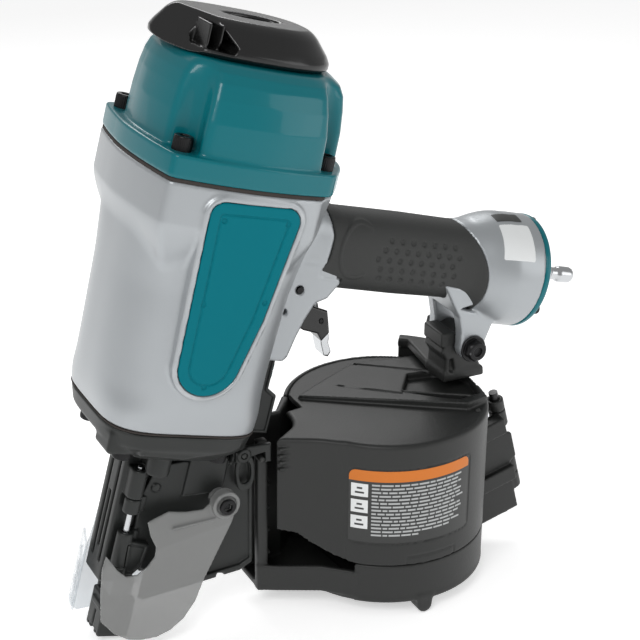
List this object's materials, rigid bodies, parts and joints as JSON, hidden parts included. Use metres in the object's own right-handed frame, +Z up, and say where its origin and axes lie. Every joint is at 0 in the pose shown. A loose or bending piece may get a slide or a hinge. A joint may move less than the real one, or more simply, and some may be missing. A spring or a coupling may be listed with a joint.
{
  "type": "pneumatic coil nail gun",
  "caption": "Pneumatic framing nailer with a round drop-in nail canister, tilted feed nose, rubber grip, exhaust deflector and clear debris shields.",
  "frame": {"origin": "On the surface that the tool stands on, under the middle of its bounding box.", "axes": "+Z is up with the tool standing on its nose tip and canister feet, +X runs from the nose to the air plug, and -Y is the tool's left side."},
  "size_m": [0.345, 0.1292, 0.3784],
  "materials": {
    "silver_paint": "satin silver enamel over a die casting",
    "teal_paint": "gloss teal enamel",
    "black_plastic": "fine-grained black moulded nylon",
    "black_metal": "black phosphated and painted steel",
    "deflector_plastic": "soft-gloss black moulded plastic",
    "grip_rubber": "charcoal overmoulded elastomer",
    "seal_rubber": "matt black sealing rubber",
    "bright_steel": "ground and hardened steel",
    "bolt_steel": "black oxide fastener",
    "machined_aluminium": "turned aluminium",
    "bumper_urethane": "amber urethane",
    "clear_shield": "clear polycarbonate"
  },
  "bodies": {
    "tool": {"main_housing": "silver_paint", "head_cap": "teal_paint", "side_plate_left": "teal_paint", "side_plate_right": "teal_paint", "end_cap": "teal_paint", "trigger_valve_body": "black_plastic", "magazine_base": "black_plastic", "platform_post": "black_plastic", "magazine_bracket": "black_plastic", "nose_body": "black_metal", "arm_guide": "black_metal", "feed_cylinder": "black_metal", "grip_sleeve": "grip_rubber", "head_gasket": "seal_rubber", "base_gasket": "seal_rubber", "head_valve_spring": "bright_steel", "air_plug": "bright_steel", "drive_guide": "bright_steel", "door_hinge_pin": "bright_steel", "feed_spring": "bright_steel", "head_bolt_1": "bolt_steel", "head_bolt_2": "bolt_steel", "head_bolt_3": "bolt_steel", "head_bolt_4": "bolt_steel", "deflector_screw": "bolt_steel", "end_cap_screw_1": "bolt_steel", "end_cap_screw_2": "bolt_steel", "end_cap_screw_3": "bolt_steel", "trigger_pin": "bolt_steel", "nose_bolt_1": "bolt_steel", "nose_bolt_2": "bolt_steel", "nose_bolt_3": "bolt_steel", "nose_bolt_4": "bolt_steel", "shield_screw_right": "bolt_steel", "magazine_hinge_pin": "bolt_steel", "post_screw": "bolt_steel", "bracket_screw": "bolt_steel", "arm_bolt": "bolt_steel", "arm_nut": "bolt_steel", "cylinder_sleeve": "machined_aluminium", "piston_bumper": "bumper_urethane", "shield_right": "clear_shield"},
    "deflector": {"exhaust_deflector": "deflector_plastic"},
    "head_valve": {"head_valve": "black_plastic"},
    "driver": {"piston": "machined_aluminium", "driver_blade": "bright_steel"},
    "trigger": {"trigger": "black_plastic", "trigger_lever_pin": "bolt_steel"},
    "trigger_lever": {"trigger_lever": "bright_steel"},
    "valve_stem": {"trigger_valve_stem": "machined_aluminium"},
    "contact_arm": {"contact_arm": "black_metal"},
    "depth_wheel": {"depth_wheel": "teal_paint"},
    "feed_door": {"feed_door": "black_metal", "shield_left": "clear_shield", "shield_screw_left": "bolt_steel"},
    "door_latch": {"door_latch": "black_metal"},
    "feed_piston": {"feed_piston": "machined_aluminium"},
    "feed_pawl": {"feed_pawl": "bolt_steel"},
    "magazine_cover": {"magazine_cover": "black_plastic"},
    "coil_platform": {"coil_platform": "black_plastic"}
  },
  "joints": [
    {"name": "deflector_turn", "type": "hinge", "parent": "tool", "child": "deflector", "pos_m": [-0.05797, 0.00185, 0.35256], "axis": [0.2588, 0, 0.9659], "continuous": true},
    {"name": "head_valve_lift", "type": "slide", "parent": "tool", "child": "head_valve", "axis": [0.2588, 0, 0.9659], "range_m": [0, 0.008], "stiffness_N_per_m": 900, "springref_m": -0.012, "deforming": ["head_valve_spring"]},
    {"name": "piston_stroke", "type": "slide", "parent": "tool", "child": "driver", "axis": [-0.2588, 0, -0.9659], "range_m": [0, 0.102]},
    {"name": "trigger_pull", "type": "hinge", "parent": "tool", "child": "trigger", "pos_m": [-0.03244, 0.00185, 0.21103], "axis": [0, -1, 0], "range_deg": [0, 9], "stiffness_Nm_per_rad": 0.6, "springref_deg": -6.88},
    {"name": "trigger_lever_swing", "type": "hinge", "parent": "trigger", "child": "trigger_lever", "pos_m": [-0.01231, 0.00185, 0.18297], "axis": [0, 1, 0], "range_deg": [0, 3], "stiffness_Nm_per_rad": 0.05, "springref_deg": -5.73},
    {"name": "valve_stem_slide", "type": "slide", "parent": "tool", "child": "valve_stem", "axis": [0.2588, 0, 0.9659], "range_m": [0, 0.0036]},
    {"name": "contact_arm_press", "type": "slide", "parent": "tool", "child": "contact_arm", "axis": [0.2588, 0, 0.9659], "range_m": [0, 0.012], "stiffness_N_per_m": 1500, "springref_m": -0.03},
    {"name": "depth_wheel_turn", "type": "hinge", "parent": "contact_arm", "child": "depth_wheel", "pos_m": [-0.04842, 0.00185, 0.15641], "axis": [0.2588, 0, 0.9659], "continuous": true},
    {"name": "feed_door_swing", "type": "hinge", "parent": "tool", "child": "feed_door", "pos_m": [-0.14333, -0.01615, 0.08038], "axis": [-0.2588, 0, -0.9659], "range_deg": [0, 85]},
    {"name": "door_latch_lift", "type": "hinge", "parent": "feed_door", "child": "door_latch", "pos_m": [-0.06944, -0.01715, 0.112], "axis": [0, -1, 0], "range_deg": [0, 15], "stiffness_Nm_per_rad": 0.08, "springref_deg": -5.73},
    {"name": "feed_stroke", "type": "slide", "parent": "tool", "child": "feed_piston", "axis": [1, 0, 0], "range_m": [0, 0.0105], "stiffness_N_per_m": 300, "springref_m": -0.006, "deforming": ["feed_spring"]},
    {"name": "feed_pawl_tilt", "type": "hinge", "parent": "feed_piston", "child": "feed_pawl", "pos_m": [-0.11759, 0.02165, 0.06], "axis": [0, 0, -1], "range_deg": [0, 20], "stiffness_Nm_per_rad": 0.02, "springref_deg": -11.46},
    {"name": "magazine_cover_swing", "type": "hinge", "parent": "tool", "child": "magazine_cover", "pos_m": [0.13356, 0.0001, 0.041], "axis": [-0.26, 0, 0.9656], "range_deg": [0, 100]},
    {"name": "coil_platform_height", "type": "slide", "parent": "tool", "child": "coil_platform", "axis": [0, 0, 1], "range_m": [0, 0.045]}
  ],
  "couplings": [
    {"joint": "valve_stem_slide", "follows": "trigger_pull", "m_per_rad": 0.02165}
  ]
}
